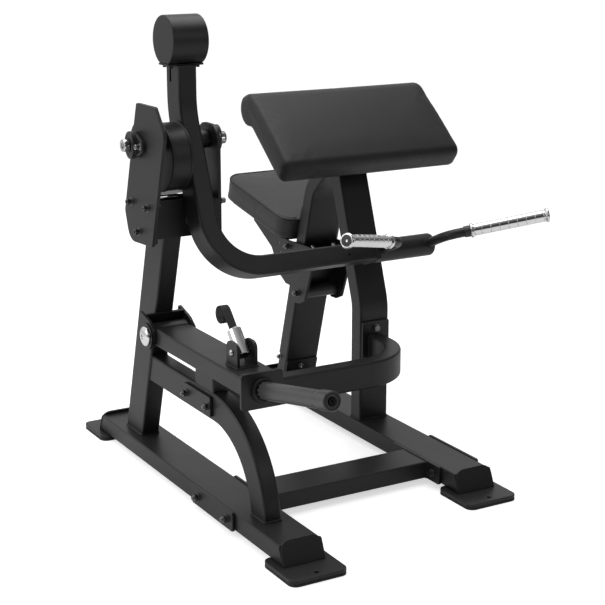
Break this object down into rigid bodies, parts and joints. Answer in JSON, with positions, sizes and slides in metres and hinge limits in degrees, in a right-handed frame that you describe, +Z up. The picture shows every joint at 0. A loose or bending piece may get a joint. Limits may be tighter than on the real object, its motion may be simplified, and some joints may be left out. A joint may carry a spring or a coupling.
{
  "type": "biceps machine",
  "caption": "Plate-loaded strength machine for arm curls, with a sloping arm pad, an adjustable seat, a swinging exercise arm with grips, and a weight lever.",
  "frame": {"origin": "floor point under the middle of the bounding box", "axes": "+Z up; the user sits at +Y and faces -Y; +X is the user's left"},
  "size_m": [1.1608, 1.5776, 1.3183],
  "materials": {
    "coat": "satin",
    "vinyl": "fine grain",
    "chrome": "polished",
    "oxide": "black oxide",
    "rubber": "matte",
    "nylon": "satin",
    "webbing": "woven",
    "board": "painted"
  },
  "bodies": {
    "frame": {"arch_backing_plate": "coat", "arch_brace": "coat", "arm_pad": "vinyl", "backing_plate_left": "coat", "backing_plate_right": "coat", "base_beam_left": "coat", "base_beam_right": "coat", "bearing_left": "oxide", "bearing_right": "oxide", "cross_beam": "coat", "crossbar": "coat", "foot_pad_front_left": "rubber", "foot_pad_front_right": "rubber", "foot_pad_rear_left": "rubber", "foot_pad_rear_right": "rubber", "guide_rail": "coat", "head_block": "coat", "lever_bracket": "coat", "lever_pin": "chrome", "lever_stop_pad": "rubber", "pad_plate": "coat", "pad_post": "coat", "pin_washer_left": "oxide", "pin_washer_right": "oxide", "pivot_plate_left": "coat", "pivot_plate_right": "coat", "rear_post": "coat", "rest_bumper": "rubber", "seat_leg": "coat", "strut_rod": "chrome", "tie_rod": "chrome"},
    "arm": {"exercise_arm": "coat", "handle_spindle": "chrome", "arm_shaft": "chrome", "strap_cam": "coat", "counterweight": "coat"},
    "handle": {"handle_bar": "coat", "grip_collar_left": "chrome", "grip_collar_right": "chrome", "grip_end_left": "nylon", "grip_end_right": "nylon"},
    "grip_left": {"grip_left": "chrome"},
    "grip_right": {"grip_right": "chrome"},
    "lever": {"lever_beam": "coat", "horn_flange": "coat", "horn_sleeve": "nylon", "horn_collar": "nylon", "strap_clevis": "coat", "clevis_pin": "oxide"},
    "strap": {"strap_anchor": "chrome", "pull_strap": "webbing"},
    "carriage": {"seat_carriage": "coat", "seat_board": "board", "seat_cushion": "vinyl", "strut_cylinder": "coat", "front_roller_shaft": "oxide", "rear_roller_shaft": "oxide"},
    "front_roller": {"front_roller": "nylon"},
    "rear_roller": {"rear_roller": "nylon"}
  },
  "joints": [
    {"name": "arm_curl", "type": "hinge", "parent": "frame", "child": "arm", "pos_m": [-0.42735, 0.05712, 0.98], "axis": [-1, 0, 0], "range_deg": [0, 115]},
    {"name": "handle_swivel", "type": "hinge", "parent": "arm", "child": "handle", "pos_m": [0.23045, -0.08223, 0.63509], "axis": [-1, 0, 0], "range_deg": [-75, 60]},
    {"name": "grip_left_spin", "type": "hinge", "parent": "handle", "child": "grip_left", "pos_m": [0.09144, -0.22632, 0.69744], "axis": [-0.8764, -0.442, 0.1913], "continuous": true},
    {"name": "grip_right_spin", "type": "hinge", "parent": "handle", "child": "grip_right", "pos_m": [0.36945, -0.22632, 0.69744], "axis": [0.8764, -0.442, 0.1913], "continuous": true},
    {"name": "weight_lever", "type": "hinge", "parent": "frame", "child": "lever", "pos_m": [-0.42735, 0.12412, 0.42], "axis": [-1, 0, 0], "range_deg": [0, 25.5]},
    {"name": "strap_swing", "type": "hinge", "parent": "lever", "child": "strap", "pos_m": [-0.42735, -0.32888, 0.484], "axis": [1, 0, 0], "range_deg": [-35, 40]},
    {"name": "seat_height", "type": "slide", "parent": "frame", "child": "carriage", "axis": [0, -0.2773, 0.9608], "range_m": [-0.16, 0.02]},
    {"name": "front_roller_spin", "type": "hinge", "parent": "carriage", "child": "front_roller", "pos_m": [0.22964, 0.4006, 0.39917], "axis": [1, 0, 0], "range_deg": [-60, 410]},
    {"name": "rear_roller_spin", "type": "hinge", "parent": "carriage", "child": "rear_roller", "pos_m": [0.22964, 0.45718, 0.54248], "axis": [-1, 0, 0], "range_deg": [-100, 770]}
  ],
  "couplings": [
    {"joint": "weight_lever", "follows": "arm_curl", "ratio": 0.22},
    {"joint": "front_roller_spin", "follows": "seat_height", "rad_per_m": -44.444},
    {"joint": "rear_roller_spin", "follows": "seat_height", "rad_per_m": -83.333}
  ]
}
